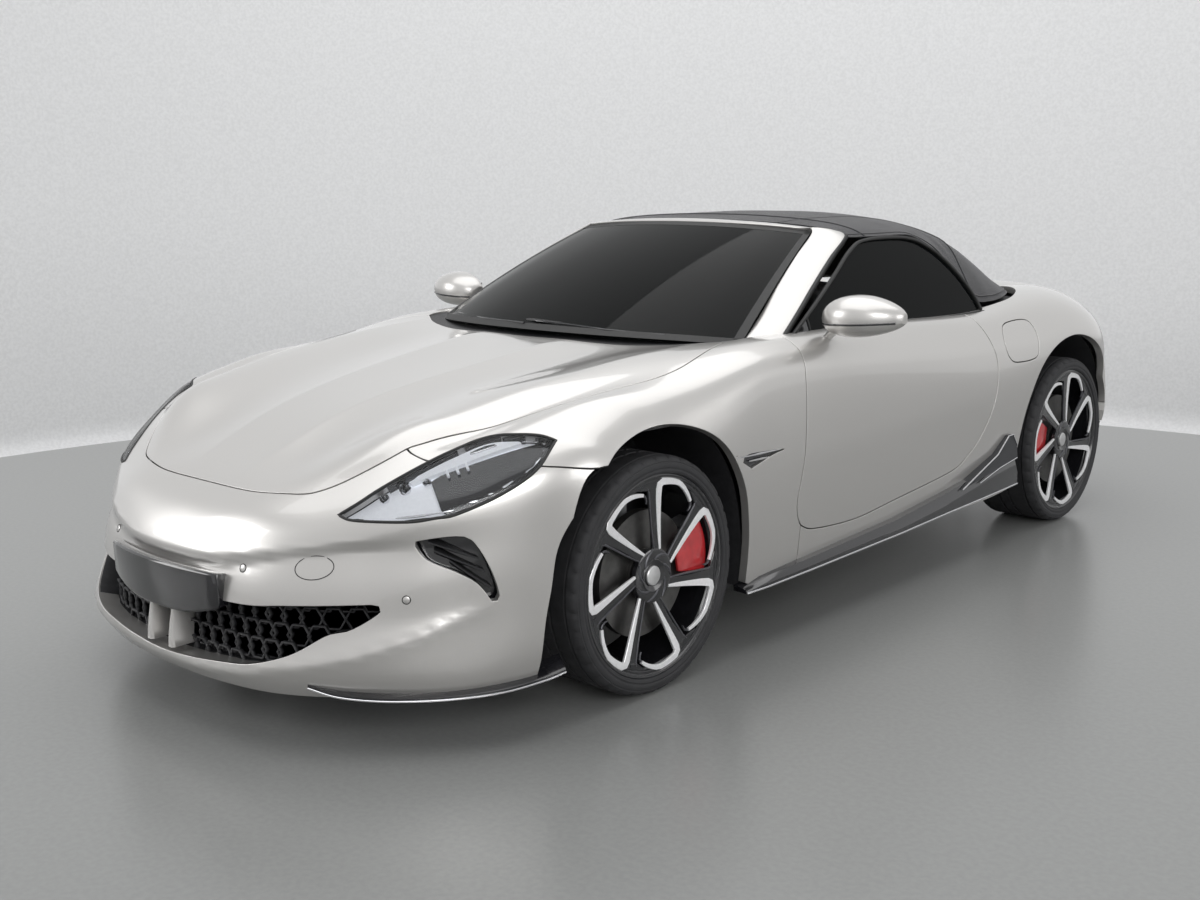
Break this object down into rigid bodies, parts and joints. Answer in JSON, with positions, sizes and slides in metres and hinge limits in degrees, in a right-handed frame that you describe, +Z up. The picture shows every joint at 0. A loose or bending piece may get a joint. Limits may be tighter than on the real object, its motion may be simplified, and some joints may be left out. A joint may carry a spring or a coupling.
{
  "type": "roadster car",
  "caption": "Low two-seat roadster with a fabric roof, upward-swinging doors, rear-hinged bonnet, boot lid, steered front wheels and rolling road wheels.",
  "frame": {"origin": "on the ground under the middle of the car's length", "axes": "+Z up, -Y towards the nose, +X towards the car's left side"},
  "size_m": [2.17, 4.535, 1.328],
  "materials": {
    "aluminium": "cast aluminium",
    "disc": "ground iron with light rust at the edge",
    "fabric": "dark grey woven roof cloth",
    "glass": "tinted safety glass",
    "lamp": "clear lamp cover over white and black insides",
    "leather": "dark upholstery with stitching",
    "matte_trim": "grained black plastic",
    "paint": "light silver metallic paint, clear coated",
    "rim": "machined silver and gloss black",
    "rubber": "black tyre rubber",
    "structure": "dark coated steel and aluminium",
    "trim": "gloss black plastic"
  },
  "bodies": {
    "body_shell": {"arch_liners": "matte_trim", "battery_pack": "structure", "boot_tub": "matte_trim", "centre_console": "matte_trim", "cowl": "matte_trim", "dashboard": "leather", "drive_unit": "aluminium", "front_bay_cover": "matte_trim", "front_bumper": "paint", "front_fenders": "paint", "front_splitter": "trim", "front_suspension": "aluminium", "grille": "matte_trim", "headlamps": "lamp", "hinge_pins": "structure", "nose_panel": "paint", "plate_carriers": "trim", "rear_bumper": "paint", "rear_deck": "paint", "rear_diffuser": "matte_trim", "rear_quarters": "paint", "rear_suspension": "aluminium", "rear_uprights": "aluminium", "rear_window": "glass", "seats": "leather", "side_sills": "paint", "side_skirts": "trim", "side_vents": "matte_trim", "soft_top": "fabric", "steering_column": "structure", "tail_lamps": "trim", "underbody": "structure", "undertray": "matte_trim", "windscreen": "glass", "windscreen_frame": "paint"},
    "door_left": {"door_left": "paint", "door_glass_left": "glass", "mirror_left": "paint"},
    "knuckle_front_left": {"knuckle_front_left": "aluminium"},
    "wheel_front_left": {"tyre_front_left": "rubber", "rim_front_left": "rim", "brake_disc_front_left": "disc"},
    "wheel_rear_left": {"tyre_rear_left": "rubber", "rim_rear_left": "rim", "brake_disc_rear_left": "disc"},
    "door_right": {"door_right": "paint", "door_glass_right": "glass", "mirror_right": "paint"},
    "knuckle_front_right": {"knuckle_front_right": "aluminium"},
    "wheel_front_right": {"tyre_front_right": "rubber", "rim_front_right": "rim", "brake_disc_front_right": "disc"},
    "wheel_rear_right": {"tyre_rear_right": "rubber", "rim_rear_right": "rim", "brake_disc_rear_right": "disc"},
    "bonnet": {"bonnet": "paint"},
    "boot_lid": {"boot_lid": "paint"},
    "charge_flap": {"charge_flap": "paint"},
    "steering_wheel": {"steering_wheel": "leather"}
  },
  "joints": [
    {"name": "door_left_hinge", "type": "hinge", "parent": "body_shell", "child": "door_left", "pos_m": [0.86, -0.4985, 0.934], "axis": [0.8382, -0.4134, -0.3558], "range_deg": [0, 65]},
    {"name": "door_right_hinge", "type": "hinge", "parent": "body_shell", "child": "door_right", "pos_m": [-0.86, -0.4985, 0.934], "axis": [0.8382, 0.4134, 0.3558], "range_deg": [0, 65]},
    {"name": "bonnet_hinge", "type": "hinge", "parent": "body_shell", "child": "bonnet", "pos_m": [0, -0.6275, 0.939], "axis": [-1, 0, 0], "range_deg": [0, 50]},
    {"name": "boot_lid_hinge", "type": "hinge", "parent": "body_shell", "child": "boot_lid", "pos_m": [0, 1.6225, 0.945], "axis": [1, 0, 0], "range_deg": [0, 60]},
    {"name": "charge_flap_hinge", "type": "hinge", "parent": "body_shell", "child": "charge_flap", "pos_m": [0.951, 0.8825, 0.772], "axis": [0, 0, -1], "range_deg": [0, 80]},
    {"name": "steer_front_left", "type": "hinge", "parent": "body_shell", "child": "knuckle_front_left", "pos_m": [0.757, -1.2275, 0.352], "axis": [0, 0, 1], "range_deg": [-35, 35]},
    {"name": "steer_front_right", "type": "hinge", "parent": "body_shell", "child": "knuckle_front_right", "pos_m": [-0.757, -1.2275, 0.352], "axis": [0, 0, 1], "range_deg": [-35, 35]},
    {"name": "steering_wheel_turn", "type": "hinge", "parent": "body_shell", "child": "steering_wheel", "pos_m": [0.375, -0.0475, 0.8], "axis": [0, 0.9135, 0.4067], "range_deg": [-490, 490]},
    {"name": "wheel_front_left_spin", "type": "hinge", "parent": "knuckle_front_left", "child": "wheel_front_left", "pos_m": [0.809, -1.2275, 0.352], "axis": [1, 0, 0], "continuous": true},
    {"name": "wheel_front_right_spin", "type": "hinge", "parent": "knuckle_front_right", "child": "wheel_front_right", "pos_m": [-0.809, -1.2275, 0.352], "axis": [1, 0, 0], "continuous": true},
    {"name": "wheel_rear_left_spin", "type": "hinge", "parent": "body_shell", "child": "wheel_rear_left", "pos_m": [0.803, 1.4625, 0.35], "axis": [1, 0, 0], "continuous": true},
    {"name": "wheel_rear_right_spin", "type": "hinge", "parent": "body_shell", "child": "wheel_rear_right", "pos_m": [-0.803, 1.4625, 0.35], "axis": [1, 0, 0], "continuous": true}
  ],
  "couplings": [
    {"joint": "steer_front_right", "follows": "steer_front_left", "ratio": 1},
    {"joint": "steering_wheel_turn", "follows": "steer_front_left", "ratio": -14}
  ]
}
